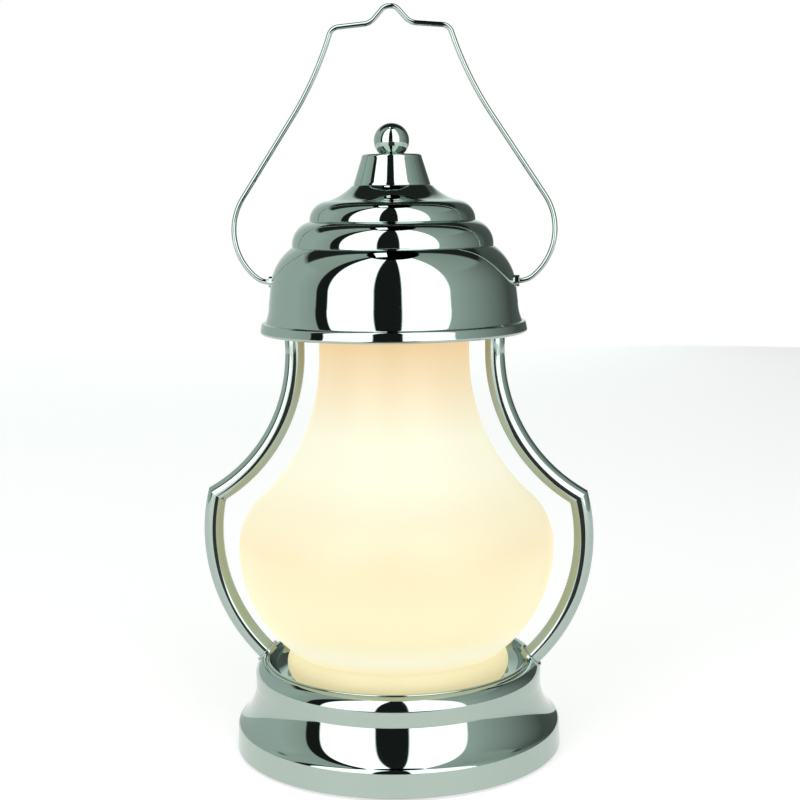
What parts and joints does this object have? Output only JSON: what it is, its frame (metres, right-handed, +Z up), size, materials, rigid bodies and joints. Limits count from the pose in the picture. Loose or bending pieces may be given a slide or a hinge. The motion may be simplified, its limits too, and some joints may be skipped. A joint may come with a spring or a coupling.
{
  "type": "lantern table lamp",
  "caption": "Table lamp in lantern form: bell-shaped opal glass between a stepped round base and a tiered hood, framed by bent side straps, with a swinging wire handle on top.",
  "frame": {"origin": "centre of the base on the table, on the lamp's axis", "axes": "+Z up along the lamp's axis, X through the two side straps and the handle's pivots, -Y to the front, +Y to the lead's bush at the back"},
  "size_m": [0.1874, 0.156, 0.35],
  "materials": {
    "chrome": "polished chrome plate, slightly soft from age",
    "chrome_wire": "polished chrome plate on drawn wire",
    "opal_glass": "smooth opal glass, warm white when lit",
    "bulb_glass": "frosted",
    "cast_iron": "as cast, oiled",
    "zinc_steel": "zinc plated",
    "brass": "machined, unlacquered",
    "nickel": "pressed, satin",
    "porcelain": "glazed ceramic",
    "black_plastic": "moulded, fine matt",
    "silicone": "soft translucent white silicone",
    "felt": "dense wool felt"
  },
  "bodies": {
    "lamp_body": {"base_shell": "chrome", "base_ballast": "cast_iron", "base_cover": "zinc_steel", "cover_screws": "zinc_steel", "felt_ring": "felt", "lead_bush": "black_plastic", "dish": "chrome", "glass_cushion": "silicone", "stem": "brass", "stem_nuts": "brass", "stem_washers": "zinc_steel", "holder_cup": "black_plastic", "holder_core": "porcelain", "holder_contact": "brass", "screw_sleeve": "brass", "bulb_cap": "nickel", "bulb_glass": "bulb_glass", "glass_shade": "opal_glass", "strap_left": "chrome", "strap_right": "chrome", "strap_collars": "chrome", "foot_screws": "zinc_steel", "top_ring": "chrome", "ring_screws": "zinc_steel", "neck_seal": "silicone", "hood": "chrome", "eyelets": "chrome", "neck_cap": "chrome", "finial_ball": "chrome", "finial_stud": "zinc_steel", "finial_nut": "zinc_steel"},
    "handle_body": {"handle": "chrome_wire"}
  },
  "joints": [
    {"name": "handle_swing", "type": "hinge", "parent": "lamp_body", "child": "handle_body", "pos_m": [0, 0, 0.22297], "axis": [1, 0, 0], "range_deg": [-145, 145]}
  ]
}
